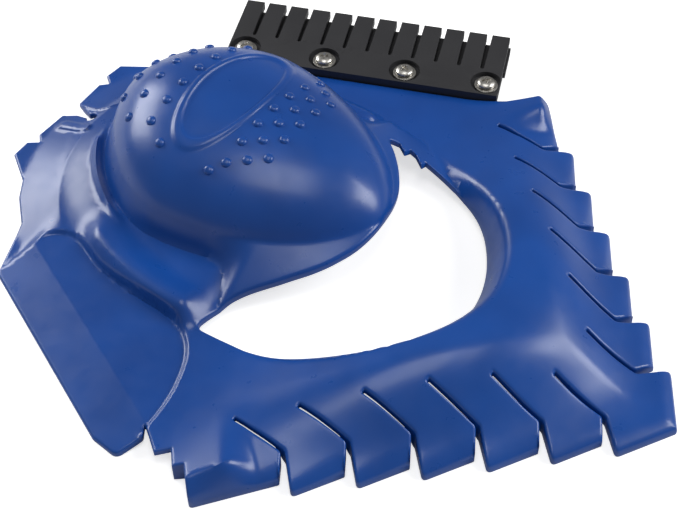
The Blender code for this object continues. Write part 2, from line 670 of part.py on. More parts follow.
def make_fasteners(material):
    pieces = []
    floor = COMB_Z + COMB_THICK - POCKET_DEPTH
    washer_low = floor + FIT
    head_low = washer_low + WASHER_THICK + FIT
    for k, place in enumerate(screw_places(), start=1):
        washer = cylinder(f"washer_{k}", place, WASHER_RADIUS, washer_low, washer_low + WASHER_THICK, 28)
        hole = cylinder("bore", place, BORE_RADIUS, washer_low - 1.0, washer_low + 2.0, 16)
        apply_boolean(washer, "DIFFERENCE", [hole])
        pieces.append(finish(washer, material))
        crown = [(HEAD_RADIUS * math.cos(a), head_low + 0.6 + (HEAD_HEIGHT - 0.6) * math.sin(a))
                 for a in (0.0, 0.45, 0.9, 1.25)]
        profile = [(0, 0.4), (SHANK_RADIUS * 0.6, 0.4), (SHANK_RADIUS, 1.2), (SHANK_RADIUS, head_low),
                   (HEAD_RADIUS, head_low)] + crown + [(0, head_low + HEAD_HEIGHT)]
        screw = turned(f"screw_{k}", place, profile, 20)
        cross = []
        for turn in (0.0, math.pi / 2):
            bm = bmesh.new()
            place_cut = (Matrix.Translation((place[0] * MM, place[1] * MM, (head_low + HEAD_HEIGHT) * MM))
                         @ Matrix.Rotation(turn + 0.4, 4, "Z")
                         @ Matrix.Diagonal((RECESS[0] * MM, RECESS[1] * MM, 2 * RECESS[2] * MM, 1)))
            bmesh.ops.create_cube(bm, size=1.0, matrix=place_cut)
            cross.append(new_object("recess", bm))
        apply_boolean(screw, "DIFFERENCE", cross)
        pieces.append(finish(screw, material))
    return pieces


# ---------------------------------------------------------------- assembly
def main():
    for obj in list(bpy.data.objects):
        bpy.data.objects.remove(obj)
    blue = make_material("blue_plastic", (0.02, 0.09, 0.36), 0.3)
    black = make_material("black_plastic", (0.03, 0.03, 0.035), 0.55)
    steel = make_material("steel", (0.6, 0.58, 0.55), 0.3, 1.0)
    pieces = [make_body(blue), make_comb(black), make_strip(black)] + make_fasteners(steel)
    corners = np.concatenate([[v.co[:] for v in piece.data.vertices] for piece in pieces])
    low, high = corners.min(axis=0), corners.max(axis=0)
    assembly = bpy.data.objects.new("assembly", None)
    bpy.context.scene.collection.objects.link(assembly)
    assembly.location = (-(low[0] + high[0]) / 2, -(low[1] + high[1]) / 2, -low[2])
    for piece in pieces:
        piece.parent = assembly


main()
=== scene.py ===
# %% [markdown]
# # A windshield ice scraper
# This lesson dresses a moulded scraper that already exists as plain engineering solids. We load those solids,
# replace each with a finer mesh, give every surface a material, and light it in a small studio.
# All lengths are millimetres until the moment a vertex is made, because moulded parts are drawn that way.

# %% Load the frame and measure it
import math

import bmesh
import bpy
import numpy as np
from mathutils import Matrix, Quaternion, Vector
from mathutils.geometry import delaunay_2d_cdt
from mathutils.kdtree import KDTree


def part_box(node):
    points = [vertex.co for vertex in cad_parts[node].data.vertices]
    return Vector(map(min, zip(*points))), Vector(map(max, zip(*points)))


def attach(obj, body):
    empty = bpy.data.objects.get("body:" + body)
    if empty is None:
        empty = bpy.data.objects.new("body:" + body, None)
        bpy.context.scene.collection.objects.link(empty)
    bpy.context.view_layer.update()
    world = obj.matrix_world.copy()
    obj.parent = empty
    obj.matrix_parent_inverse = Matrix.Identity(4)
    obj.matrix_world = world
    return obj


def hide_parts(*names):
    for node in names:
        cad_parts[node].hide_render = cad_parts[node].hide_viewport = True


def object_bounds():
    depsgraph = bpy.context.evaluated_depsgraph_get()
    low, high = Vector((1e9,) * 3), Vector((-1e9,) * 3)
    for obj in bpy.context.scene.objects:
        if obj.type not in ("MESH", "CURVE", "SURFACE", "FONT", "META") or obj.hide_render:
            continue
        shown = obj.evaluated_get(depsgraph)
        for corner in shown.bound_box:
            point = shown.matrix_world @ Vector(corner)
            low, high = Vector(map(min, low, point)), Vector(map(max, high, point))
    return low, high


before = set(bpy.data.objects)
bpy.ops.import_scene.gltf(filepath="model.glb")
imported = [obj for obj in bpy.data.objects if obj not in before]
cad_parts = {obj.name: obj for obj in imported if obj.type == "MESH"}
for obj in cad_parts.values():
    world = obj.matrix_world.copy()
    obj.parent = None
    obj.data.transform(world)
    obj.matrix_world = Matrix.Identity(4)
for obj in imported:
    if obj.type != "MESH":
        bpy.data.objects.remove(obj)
cad_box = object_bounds()
MM = 0.001
comb_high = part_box("ice_comb")[1]
print("whole object, mm:", [round((h - l) / MM, 1) for l, h in zip(*cad_box)])

# %% [markdown]
# ## The camera
# We set the camera first, so that every later decision can be judged from where the object is seen. It looks
# down from the front right, about half a metre away, through a 73.5 mm lens, with the smallest of tilts.

# %% Camera
CAMERA_PLACE = Vector((0.1956, -0.2819, 0.3929))
CAMERA_TARGET = Vector((0.0042, -0.0155, 0.0100))
CAMERA_ROLL = math.radians(-0.59)
CAMERA_LENS = 73.5

camera = bpy.data.objects.new("camera", bpy.data.cameras.new("camera"))
camera.data.lens = CAMERA_LENS
camera.data.clip_start = 0.01
camera.location = CAMERA_PLACE
aim = (CAMERA_TARGET - CAMERA_PLACE).to_track_quat("-Z", "Y")
camera.rotation_mode = "QUATERNION"
camera.rotation_quaternion = aim @ Quaternion((0, 0, 1), CAMERA_ROLL)
bpy.context.scene.collection.objects.link(camera)
bpy.context.scene.camera = camera
print("camera distance, m:", round((CAMERA_TARGET - CAMERA_PLACE).length, 3))

# %% [markdown]
# ## The studio
# A scraper is shown best on a plain pale table under large soft lamps. The table is one plane. The camera
# sees it a little brighter than it is lit, so it reads as white while it still takes the soft shadow.

# %% Node helpers


def new_material(name, colour=(0.8, 0.8, 0.8), roughness=0.5, metallic=0.0):
    """A Principled material with its fixed values set on the shader's own sockets."""
    material = bpy.data.materials.new(name)
    material.use_nodes = True
    shader = material.node_tree.nodes["Principled BSDF"]
    shader.inputs["Base Color"].default_value = (*colour, 1.0)
    shader.inputs["Roughness"].default_value = roughness
    shader.inputs["Metallic"].default_value = metallic
    return material, shader


def add_node(material, kind, inputs=(), **settings):
    """One node with its settings; inputs are (socket, value or output to link)."""
    node = material.node_tree.nodes.new(kind)
    for key, value in settings.items():
        setattr(node, key, value)
    for socket, value in inputs:
        if isinstance(value, bpy.types.NodeSocket):
            material.node_tree.links.new(value, node.inputs[socket])
        else:
            node.inputs[socket].default_value = value
    return node


# %% Floor, world and lamps
FLOOR_SIZE, FLOOR_GAP, FLOOR_GLOW = 6.0, 0.2, 0.66
SKY_STRENGTH = 0.18

floor_mesh = bpy.data.meshes.new("floor")
half_floor = FLOOR_SIZE / 2
floor_corners = [(half_floor * sx, half_floor * sy, 0) for sx, sy in ((-1, -1), (1, -1), (1, 1), (-1, 1))]
floor_mesh.from_pydata(floor_corners, [], [(0, 1, 2, 3)])
floor = bpy.data.objects.new("floor", floor_mesh)
floor.location.z = cad_box[0][2] - FLOOR_GAP * MM
bpy.context.scene.collection.objects.link(floor)
paper, paper_shader = new_material("pale_table", (0.82, 0.82, 0.82), 0.75)
seen = add_node(paper, "ShaderNodeLightPath")
glow = add_node(paper, "ShaderNodeMath", [(0, seen.outputs["Is Camera Ray"]), (1, FLOOR_GLOW)],
                operation="MULTIPLY")
paper_shader.inputs["Emission Color"].default_value = (1, 1, 1, 1)
paper.node_tree.links.new(glow.outputs[0], paper_shader.inputs["Emission Strength"])
floor_mesh.materials.append(paper)

world = bpy.data.worlds.new("studio")
bpy.context.scene.world = world
world.use_nodes = True
sky = world.node_tree.nodes["Background"]
sky.inputs["Color"].default_value = (1.0, 1.0, 1.0, 1.0)
sky.inputs["Strength"].default_value = SKY_STRENGTH


def softbox(name, place, target, width, height, watts):
    """A rectangular lamp at a place, aimed at a target."""
    lamp = bpy.data.lights.new(name, "AREA")
    lamp.shape = "RECTANGLE"
    lamp.size, lamp.size_y, lamp.energy = width, height, watts
    obj = bpy.data.objects.new(name, lamp)
    obj.location = place
    obj.rotation_euler = (Vector(target) - Vector(place)).to_track_quat("-Z", "Y").to_euler()
    bpy.context.scene.collection.objects.link(obj)


softbox("window_left", (-0.85, 0.0, 0.4), (-0.05, 0.0, 0.02), 0.5, 0.4, 4.5)
softbox("window_right", (0.7, 0.5, 0.6), (0.05, 0.0, 0.0), 0.5, 0.6, 6.5)
softbox("overhead", (0.05, -0.1, 1.1), (0.0, 0.0, 0.0), 0.5, 0.5, 2.6)
bpy.context.scene.view_settings.view_transform = "Standard"

# %% [markdown]
# ## Sizes of the body
# The body is one thin moulding: a palm dome, a hand hole behind it, and two rows of bent fingers that meet at
# a corner. Each size below has one name. The plan is symmetric about the X axis, apart from the comb's flank
# and the side blade, so most outlines are drawn once for both sides.

# %% Soft lines


def softened(line, rounds=2):
    """The open line with its corners cut, twice over, so that it reads as a curve."""
    for _ in range(rounds):
        cuts = [line[0]]
        for (ax, ay), (bx, by) in zip(line, line[1:]):
            cuts += [(0.75 * ax + 0.25 * bx, 0.75 * ay + 0.25 * by),
                     (0.25 * ax + 0.75 * bx, 0.25 * ay + 0.75 * by)]
        line = cuts + [line[-1]]
    return line


# %% Sizes
BODY_LENGTH = 275.0
WALL = 2.5
PLATEAU_Z = 6.4
EDGE_Z = 1.3
CORNER_X = BODY_LENGTH / 2
REAR_X = -BODY_LENGTH / 2

ROW_ANGLE = math.radians(43.0)
FINGER_PITCH = 21.6
FINGERS_PER_ROW = 6
TIP_S, TIP_N = 23.0, 6.4
HEEL_S, HEEL_N = 26.2, 1.2
BEND_S, BEND_N = 23.9, -7.0
ROOT_S, ROOT_N = 38.6, -20.8
SLOT_WIDTH = 1.3
LAST_FINGER = 30.0
FINGER_Z = 4.6
CURL_RUN = 6.0
FLANGE_TIP, LAST_FINGER_TIP = (25.4, 109.4), (21.5, -116.2)

ARCH_Z = 23.0
ARCH_START_X, ARCH_CREST_X = -5.0, 67.0
# Where a form fades in or out, as (start, run)
ARCH_ACROSS, ARCH_AHEAD, ROW_END = (-32.0, 38.0), (72.0, 60.0), (140.0, 12.0)
HOLE_X = -10.0
HOLE_LENGTH, HOLE_WIDTH, HOLE_POWER = 65.5, 60.0, 1.8
HEM_Z = 6.0
LIP_FRONT, LIP_SIDE = 0.14, 0.03
CLEANER_Z, CLEANER_SHARE = 2.8, 0.86
CLEANER_FRONT_X, CLEANER_RUN = 42.0, 45.0
CLEANER_TEETH = ((4.4, 46.8), (-0.6, 50.6), (-3.4, 51.0), (-3.7, 47.2), (-7.9, 50.2))
# Ends of the hole's own curve, from its centre
HOLE_START, HOLE_END = (10.5, 61.0), (14.7, 51.4)

GRIP_X, GRIP_Y = -60.0, 10.0
GRIP_REAR, GRIP_FRONT, GRIP_HALF_WIDTH, GRIP_POWER = 49.0, 74.0, 46.9, 1.75
GRIP_BASE_Z, GRIP_TOP_Z, GRIP_REAR_RISE = 8.0, 43.0, 4.0
GRIP_FULLNESS = 0.385
GRIP_FOOT = 0.972
NOSE_RIM = ((-12.0, 48.0), (-6.0, 43.5), (1.0, 36.0), (7.5, 27.0), (11.0, 18.0), (12.6, 6.0), (11.0, -6.0),
            (4.8, -19.0), (-5.2, -31.0), (-13.4, -40.0), (-17.6, -46.0), (-19.2, -53.0), (-20.5, -61.0))
NOSE_FADE, NOSE_FALL, CHEEK_FALL = (-40.0, 22.0), 2.6, 0.62
RIDGE_X, RIDGE_LENGTH, RIDGE_WIDTH, RIDGE_Z = -33.0, 81.4, 58.0, 12.5
# The ridge's foot and the gutter's edge, as levels on the ridge's oval
RIDGE_FOOT, RIDGE_FLANK, GUTTER_EDGE, GUTTER_FLANK = 1.13, 0.13, 0.80, 0.20
RIDGE_REAR, RIDGE_FRONT, RIDGE_BACK, BACK_FLANK = (-100.0, 26.0), (-29.0, 11.0), (-88.0, 16.0), 0.25
GUTTER_Z = 10.0
NECK_RIDGE, NECK_RIDGE_Z, NECK_HALF_WIDTH = 1.125, 12.5, 0.055
NECK_FRONT, NECK_REAR = (-88.0, 20.0), (-112.0, 6.0)

STEP_LINE = softened(((-96.0, -64.0), (-94.5, -57.0), (-89.3, -53.0), (-83.9, -51.9), (-76.0, -54.6),
                      (-68.0, -57.9), (-59.2, -59.5), (-49.4, -60.3), (-35.8, -60.5), (-26.9, -61.6),
                      (-21.1, -64.9), (-16.1, -69.5), (-11.9, -76.6), (-7.7, -89.9), (-6.6, -106.0)))
POCKET_Z = 4.8
BLADE_CREASE = ((-95.5, -63.6), (-9.5, -100.8))
BLADE_SLOPE = 0.2
REAR_HALF_WIDTH = 31.0
REAR_CREASE_RADIUS, REAR_CREASE_X = 63.3, -55.0
REAR_SLOPE = 0.3
KEYHOLE = (-122.8, -1.0)
KEYHOLE_RADIUS = 2.2
PANEL, PANEL_HALF = (-58.4, 14.0), (14.5, 33.0)
RIBS = ((((-131.0, -9.4), (-119.5, -8.3)), 2.7, 0.9),
        (softened(((-132.5, 3.6), (-124.2, 3.3), (-119.5, 5.0), (-117.3, 8.6))), 0.8, 0.5))

COMB_CORNER = (-112.3, 89.1)
COMB_ANGLE = math.radians(22.2)
COMB_PITCH, COMB_TEETH, TOOTH_WIDTH = 9.7, 12, 7.5
COMB_DEPTH = 36.8
COMB_Z, COMB_THICK = 6.3, 3.4
COMB_WIDTH = (COMB_TEETH - 1) * COMB_PITCH + TOOTH_WIDTH
FIT = 0.3


def comb_point(u, v):
    """Plan position from u along the comb's teeth and v out from its tips."""
    along = Vector((math.cos(COMB_ANGLE), math.sin(COMB_ANGLE)))
    across = Vector((-along.y, along.x))
    return tuple(Vector(COMB_CORNER) + along * u + across * v)


# The drawing's own origin against the shared frame's
SHIFT_X = 0.11
SHIFT = (SHIFT_X, comb_high[1] / MM - comb_point(COMB_WIDTH, 0.0)[1])
print("body length, mm:", round(BODY_LENGTH, 2), "shift, mm:", [round(v, 2) for v in SHIFT])

# %% [markdown]
# ## The body's outer surface as a height
# Seen from above, the whole top of the moulding is a height over the glass: nothing overhangs once the hole
# has been cut under the dome's nose. So one function of x and y can hold the design, built up in layers, and
# blended with a smooth step wherever one form runs into the next.

# %% Helpers for the height function


def smooth(t):
    """0 before 0, 1 after 1, and an even S between."""
    t = np.clip(t, 0.0, 1.0)
    return t * t * (3.0 - 2.0 * t)


def fade(value, start, run):
    """A smooth rise from 0 at start to 1 a run later."""
    return smooth((value - start) / run)


def mix(a, b, t):
    return a + (b - a) * t


def superellipse_level(x, y, rear, front, half_width, power):
    """1 on the curve, less inside it."""
    length = np.where(x > 0, front, rear)
    return (np.abs(x / length) ** power + np.abs(y / half_width) ** power) ** (1.0 / power)


def row_point(s, n, side):
    """Plan position from s back along a row of fingers and n outward across it."""
    x = CORNER_X - s * math.cos(ROW_ANGLE) + n * math.sin(ROW_ANGLE)
    y = s * math.sin(ROW_ANGLE) + n * math.cos(ROW_ANGLE)
    return (x, side * y)


def line_distance(x, y, start, end):
    """Distance to the left of the line from start to end."""
    dx, dy = end[0] - start[0], end[1] - start[1]
    return ((y - start[1]) * dx - (x - start[0]) * dy) / math.hypot(dx, dy)


def hole_level(x, y):
    return superellipse_level(x - HOLE_X, y, HOLE_LENGTH, HOLE_LENGTH, HOLE_WIDTH, HOLE_POWER)


def grip_level(x, y):
    return superellipse_level(x - GRIP_X, y - GRIP_Y, GRIP_REAR, GRIP_FRONT, GRIP_HALF_WIDTH, GRIP_POWER)


def ridge_level(x, y):
    return superellipse_level(x - RIDGE_X, y, RIDGE_LENGTH, RIDGE_LENGTH, RIDGE_WIDTH, 2.0)


def line_reach(x, y, line):
    """Signed distance to an open line of points: positive on its right-hand side."""
    best, sign = np.full(np.shape(x), 1e9), np.ones(np.shape(x))
    for (ax, ay), (bx, by) in zip(line, line[1:]):
        dx, dy = bx - ax, by - ay
        t = np.clip(((x - ax) * dx + (y - ay) * dy) / (dx * dx + dy * dy), 0.0, 1.0)
        away = np.hypot(x - ax - t * dx, y - ay - t * dy)
        side = np.where((x - ax) * dy - (y - ay) * dx > 0, 1.0, -1.0)
        closer = away < best - 1e-9
        best, sign = np.where(closer, away, best), np.where(closer, side, sign)
    return best * sign


def cleaner_share(x, y):
    """How far the hole's comb-side rim reaches inward, as the small wiper-cleaning flange."""
    share = mix(1.0, CLEANER_SHARE, smooth((CLEANER_FRONT_X - x) / CLEANER_RUN))
    return np.where(y > 0, share, 1.0)


# %% Arch, fingers and the slope into the hand hole


def ring_height(x, y):
    """Height of the flat ring around the hole, with its arch, fingers and rim."""
    ahead = x - CORNER_X
    n = ahead * math.sin(ROW_ANGLE) + np.abs(y) * math.cos(ROW_ANGLE)
    s = -ahead * math.cos(ROW_ANGLE) + np.abs(y) * math.sin(ROW_ANGLE)
    # Each finger's scraping edge runs askew from its heel to its tip
    k = np.clip(np.floor((s - HEEL_S) / FINGER_PITCH), 0, FINGERS_PER_ROW - 1)
    length = np.where(k < FINGERS_PER_ROW - 1, FINGER_PITCH + TIP_S - HEEL_S, LAST_FINGER)
    along = np.where(s < TIP_S, s / TIP_S, np.clip((s - HEEL_S - k * FINGER_PITCH) / length, 0.0, 1.0))
    heel = np.where(s < TIP_S, 0.0, HEEL_N)
    edge = heel + (TIP_N - heel) * along
    curl = np.clip((edge - n) / CURL_RUN, 0.0, 1.0)
    tip = mix(EDGE_Z, FINGER_Z, np.sqrt(1.0 - (1.0 - curl) ** 2))
    arch = PLATEAU_Z + (ARCH_Z - PLATEAU_Z) * fade(x, ARCH_START_X, ARCH_CREST_X - ARCH_START_X)
    across = 1.0 - fade(n, *ARCH_ACROSS)
    ahead_fall = 1.0 - fade(x, *ARCH_AHEAD)
    flat_end = fade(s, *ROW_END)
    z = tip + (arch - FINGER_Z) * mix(across * ahead_fall, curl, flat_end)
    forward = np.clip((x - HOLE_X) / np.maximum(np.hypot(x - HOLE_X, y), 1.0), 0.0, 1.0)
    rim = cleaner_share(x, y)
    lip = 1.01 + mix(LIP_SIDE, LIP_FRONT, forward ** 4)
    inward = np.clip((hole_level(x, y) - rim) / (lip - rim), 0.0, 1.0)
    hem = np.where(y > 0, mix(HEM_Z, CLEANER_Z, (1.0 - rim) / (1.0 - CLEANER_SHARE)), HEM_Z)
    return mix(np.minimum(hem, z), z, np.sin(inward * math.pi / 2))


# %% Rear teeth, side blade, ridge, gutter and palm grip


def skin_height(x, y):
    """Height of the moulding's outer surface above the glass."""
    z = ring_height(x, y)
    # Bevelled rear edge
    past_crease = np.hypot(x - REAR_CREASE_X, y) - REAR_CREASE_RADIUS
    behind = smooth((REAR_CREASE_X - 35.0 - x) / 10.0)
    z = mix(z, np.maximum(EDGE_Z, PLATEAU_Z - REAR_SLOPE * np.maximum(past_crease, 0.0)), behind)
    # Ridge, with the gutter between it and the grip
    level = ridge_level(x, y)
    ground = z
    flank = mix(PLATEAU_Z, RIDGE_Z, smooth((RIDGE_FOOT - level) / RIDGE_FLANK))
    trough = mix(GUTTER_Z, RIDGE_Z, fade(level, GUTTER_EDGE, GUTTER_FLANK))
    crest = np.where(level > 1.0, flank, trough)
    along = fade(x, *RIDGE_REAR) * (1.0 - fade(x, *RIDGE_FRONT))
    inside_ridge = level < RIDGE_FOOT
    z = mix(z, np.maximum(crest, z), along * inside_ridge)
    back = (1.0 - fade(x, *RIDGE_BACK)) * inside_ridge
    z = mix(z, ground + (GUTTER_Z - PLATEAU_Z) * smooth((RIDGE_FOOT - level) / BACK_FLANK), back)
    # Side blade's pocket
    pocket = line_reach(x, y, STEP_LINE)
    blade = POCKET_Z - BLADE_SLOPE * np.maximum(line_distance(x, y, BLADE_CREASE[1], BLADE_CREASE[0]), 0.0)
    z = mix(z, np.maximum(EDGE_Z, blade), smooth((pocket + 0.4) / 1.8) * (y < -45.0) * (x < 0.0))
    # Palm grip, with a narrow second ridge around its rear foot
    grip = grip_level(x, y)
    bead = np.clip(1.0 - np.abs(grip - NECK_RIDGE) / NECK_HALF_WIDTH, 0.0, 1.0)
    beside = (1.0 - fade(x, *NECK_FRONT)) * fade(x, *NECK_REAR) * (y < 0)
    z = z + (NECK_RIDGE_Z - GUTTER_Z) * smooth(bead) * beside
    height = GRIP_TOP_Z - GRIP_BASE_Z + GRIP_REAR_RISE * smooth((GRIP_X + 12.0 - x) / 50.0)
    cap = GRIP_BASE_Z + height * np.clip(1.0 - grip ** 2, 0.0, 1.0) ** GRIP_FULLNESS
    knee = GRIP_BASE_Z + height * (1.0 - GRIP_FOOT ** 2) ** GRIP_FULLNESS
    fall = knee - (grip - GRIP_FOOT) * GRIP_HALF_WIDTH * NOSE_FALL
    nose = fade(x, *NOSE_FADE) * (hole_level(x, y) < 1.03)
    cheek = knee - (grip - GRIP_FOOT) * GRIP_HALF_WIDTH * CHEEK_FALL
    cap = np.where(grip < GRIP_FOOT, cap, mix(fall, np.maximum(cheek, HEM_Z), nose))
    return np.maximum(z, cap)


def panel_level(x, y):
    return np.hypot((x - PANEL[0]) / PANEL_HALF[0], (y - PANEL[1]) / PANEL_HALF[1])


def panel_relief(x, y):
    """A raised oval band on top of the grip, with a plain sunk panel inside it."""
    level = panel_level(x, y)
    band = 0.7 * smooth((1.0 - level) / 0.07)
    return band - 1.1 * smooth((0.86 - level) / 0.07)


def rib_relief(x, y):
    """Two thin ribs beside the keyhole."""
    return sum(rise * smooth((half_width - np.abs(line_reach(x, y, line))) / 0.8)
               for line, half_width, rise in RIBS)


def underside_height(x, y):
    """One wall below the outer surface, measured square to it, and never below the glass."""
    low = skin_height(x, y) - WALL
    for reach in (0.5 * WALL, 0.9 * WALL):
        drop = math.sqrt(WALL ** 2 - reach ** 2)
        for i in range(12):
            a = math.pi * i / 6
            low = np.minimum(low, skin_height(x + reach * math.cos(a), y + reach * math.sin(a)) - drop)
    n = (x - CORNER_X) * math.sin(ROW_ANGLE) + np.abs(y) * math.cos(ROW_ANGLE)
    solid_tip = smooth((n - BEND_N + 3.0) / 3.0)
    return np.maximum(low * (1.0 - solid_tip), 0.0)


print("dome top, mm:", float(skin_height(np.array([GRIP_X]), np.array([GRIP_Y]))[0]))

# %% [markdown]
# ## The plan outline
# The fingers, slots, side blade and rear ice teeth are all one closed line seen from above. Each corner is
# listed with the radius that the mould gives it, and the line is then walked in short steps, so that every
# edge of the mesh follows it exactly.

# %% Outline corners


def row_corners(side, last_tip):
    """Corners of one row of fingers and its slots, from the corner finger back."""
    half = SLOT_WIDTH / 2
    corners = []
    for k in range(FINGERS_PER_ROW):
        s = k * FINGER_PITCH
        slot = [(TIP_S, TIP_N, 1.6), (BEND_S - half, BEND_N, 2.0),
                (ROOT_S - half * 0.7, ROOT_N - half * 0.7, 0.4),
                (ROOT_S + half * 0.7, ROOT_N + half * 0.7, 0.4),
                (BEND_S + half, BEND_N, 2.0), (HEEL_S, HEEL_N, 0.8)]
        corners += [(*row_point(s + ds, n, side), r) for ds, n, r in slot]
    return corners + [(*last_tip, 1.5)]


def rear_corners():
    """Corners of the rear edge: a bevel, ice teeth and the keyhole's mouth."""
    w = REAR_HALF_WIDTH
    flank = [(29.0, 26.5, 2.0), (18.5, 17.0, 6.0), (12.9, 9.1, 0.6), (0.5, 1.0, 0.8)]
    corners = [(REAR_X + dx, w + dy, r) for dx, dy, r in flank]
    teeth = [(0.0, w - 7.0, 0.6), (4.0, w - 10.0, 0.4), (1.0, w - 13.0, 0.6)]
    corners += [(REAR_X + dx, y, r) for dx, y, r in teeth]
    corners += [(REAR_X + 2.0, KEYHOLE[1] + 5.5, 1.5)]
    for i in range(11):
        a = mix(0.85 * math.pi, -0.85 * math.pi, i / 10)
        corners.append((KEYHOLE[0] + KEYHOLE_RADIUS * math.cos(a),
                        KEYHOLE[1] + KEYHOLE_RADIUS * math.sin(a), 0))
    corners += [(REAR_X + 7.5, KEYHOLE[1] - 0.8, 0.5), (REAR_X + 1.0, KEYHOLE[1] - 3.0, 1.5)]
    corners += [(REAR_X + dx, -y, r) for dx, y, r in reversed(teeth)]
    return corners + [(REAR_X + dx, -w - dy, r) for dx, dy, r in reversed(flank)]


BLADE_CORNERS = [(-98.6, -80.6, 5.0), (-21.5, -114.3, 3.5), (-10.5, -115.3, 3.0), (-6.5, -105.5, 1.0),
                 (-9.5, -101.0, 0.4), (1.5, -109.0, 0.4), (5.5, -105.0, 0.4), (10.5, -110.5, 0.4),
                 (13.5, -108.0, 0.4)]


def body_corners():
    """The outer line's corners, once round from the corner finger."""
    comb_line = [(*comb_point(COMB_WIDTH + 4.0, -COMB_DEPTH - FIT), 1.0),
                 (*comb_point(-2.0, -COMB_DEPTH - FIT), 1.0)]
    corners = [(CORNER_X, 0.0, 1.5)] + row_corners(1, FLANGE_TIP) + comb_line
    corners += rear_corners() + BLADE_CORNERS
    return corners + list(reversed(row_corners(-1, LAST_FINGER_TIP)))


def hole_line():
    """The hand hole's corners: its curve, the cleaning teeth, then the grip's nose."""
    start, end = -math.atan2(HOLE_START[1], HOLE_START[0]), math.atan2(HOLE_END[1], HOLE_END[0])
    front = []
    for i in range(121):
        a = mix(start, end, i / 120)
        dx, dy = math.cos(a), math.sin(a)
        reach = 1.0 / float(superellipse_level(dx, dy, HOLE_LENGTH, HOLE_LENGTH, HOLE_WIDTH, HOLE_POWER))
        reach *= float(cleaner_share(HOLE_X + reach * dx, dy))
        front.append((HOLE_X + reach * dx, reach * dy, 0))
    teeth = [(x, y, 0.3) for x, y in CLEANER_TEETH]
    return front + teeth + [(x, y, 60.0) for x, y in NOSE_RIM]


# %% Round the corners and walk the line


def rounded(corners):
    """Replaces each corner that has a radius by a short curve."""
    points = []
    for i, (x, y, radius) in enumerate(corners):
        a, b, c = (Vector(corners[j % len(corners)][:2]) for j in (i - 1, i, i + 1))
        to_a, to_c = (a - b).normalized(), (c - b).normalized()
        half = to_a.angle(to_c, math.pi) / 2
        if radius == 0 or half > 0.499 * math.pi:
            points.append(b)
            continue
        reach = min(radius / math.tan(half), (a - b).length * 0.49, (c - b).length * 0.49)
        for k in range(9):
            t = k / 8
            points.append((b + to_a * reach) * (1 - t) ** 2 + b * 2 * t * (1 - t)
                          + (b + to_c * reach) * t ** 2)
    return points


def walked(points, step):
    """The same closed line with no edge longer than step."""
    line = []
    for a, b in zip(points, points[1:] + points[:1]):
        if (b - a).length < 0.02:
            continue
        count = max(1, math.ceil((b - a).length / step))
        line += [a.lerp(b, i / count) for i in range(count)]
    return np.array([tuple(p) for p in line])


EDGE_STEP = 0.9
outer_line = walked(rounded(body_corners()), EDGE_STEP)
inner_line = walked(rounded(hole_line()), EDGE_STEP)
print("points on the outline:", len(outer_line), "on the hole:", len(inner_line))

# %% [markdown]
# ## Meshing the sheet
# A grid would leave steps along the slots, so the plan is filled by a Delaunay triangulation instead: points
# on the outline, rows of points just inside it for the rounded rim, and an even field over the rest. Raised
# to the height function above and to its underside below, and joined by a wall, it is one closed thin solid.

# %% Points of the plan


def inside(line, x, y):
    """Whether each point lies in the closed line, by counting crossings."""
    result = np.zeros(x.shape, dtype=bool)
    ax, ay = line[:, 0], line[:, 1]
    bx, by = np.roll(ax, -1), np.roll(ay, -1)
    for x0, y0, x1, y1 in zip(ax, ay, bx, by):
        if y0 == y1:
            continue
        crosses = ((y0 > y) != (y1 > y)) & (x < (x1 - x0) * (y - y0) / (y1 - y0) + x0)
        result ^= crosses
    return result


def in_sheet(x, y):
    """Whether each point lies on the moulding, seen from above."""
    return inside(outer_line, x, y) & ~inside(inner_line, x, y)


def inset(line, distance):
    """The line moved to its left by a distance."""
    before, after = np.roll(line, 1, axis=0), np.roll(line, -1, axis=0)
    tangent = after - before
    tangent /= np.maximum(np.linalg.norm(tangent, axis=1), 1e-6)[:, None]
    return line + distance * np.stack([-tangent[:, 1], tangent[:, 0]], axis=1)


def search_tree(points):
    """A tree that finds the nearest of these points quickly."""
    tree = KDTree(len(points))
    for i, p in enumerate(points):
        tree.insert((p[0], p[1], 0.0), i)
    tree.balance()
    return tree


RIM_RADIUS = 0.9
RIM_ROWS = (0.12, 0.35, 0.7, 1.1)
FIELD_STEP = 1.7
border = np.concatenate([outer_line, inner_line])
border_tree = search_tree(border)


def border_distance(points):
    return np.array([border_tree.find((p[0], p[1], 0.0))[2] for p in points])


def rim_points():
    """Rows of points just inside the edges, for the rounded rim."""
    rows = []
    for distance in RIM_ROWS:
        row = np.concatenate([inset(outer_line, distance), inset(inner_line[::-1], distance)])
        keep = in_sheet(row[:, 0], row[:, 1]) & (border_distance(row) > distance * 0.75)
        rows.append(row[keep])
    return rows


def level_rows(centre, rear, front, half_width, power, levels, step=1.0):
    """Closed rows of points where a superellipse has the levels given."""
    rows = []
    for level in levels:
        angles = np.linspace(0.0, 2 * math.pi, int(2 * math.pi * half_width * level / step), endpoint=False)
        dx, dy = np.cos(angles), np.sin(angles)
        reach = level / superellipse_level(dx, dy, rear, front, half_width, power)
        rows.append(np.stack([centre[0] + reach * dx, centre[1] + reach * dy], axis=1))
    return rows


def line_rows(line, offsets, step=1.0):
    """Rows of points beside an open line."""
    rows = []
    for offset in offsets:
        row = []
        for a, b in zip(line, line[1:]):
            a, b = Vector(a), Vector(b)
            along = (b - a).normalized()
            side = Vector((along.y, -along.x)) * offset
            count = max(1, int((b - a).length / step))
            row += [tuple(a.lerp(b, i / count) + side) for i in range(count)]
        rows.append(np.array(row))
    return rows


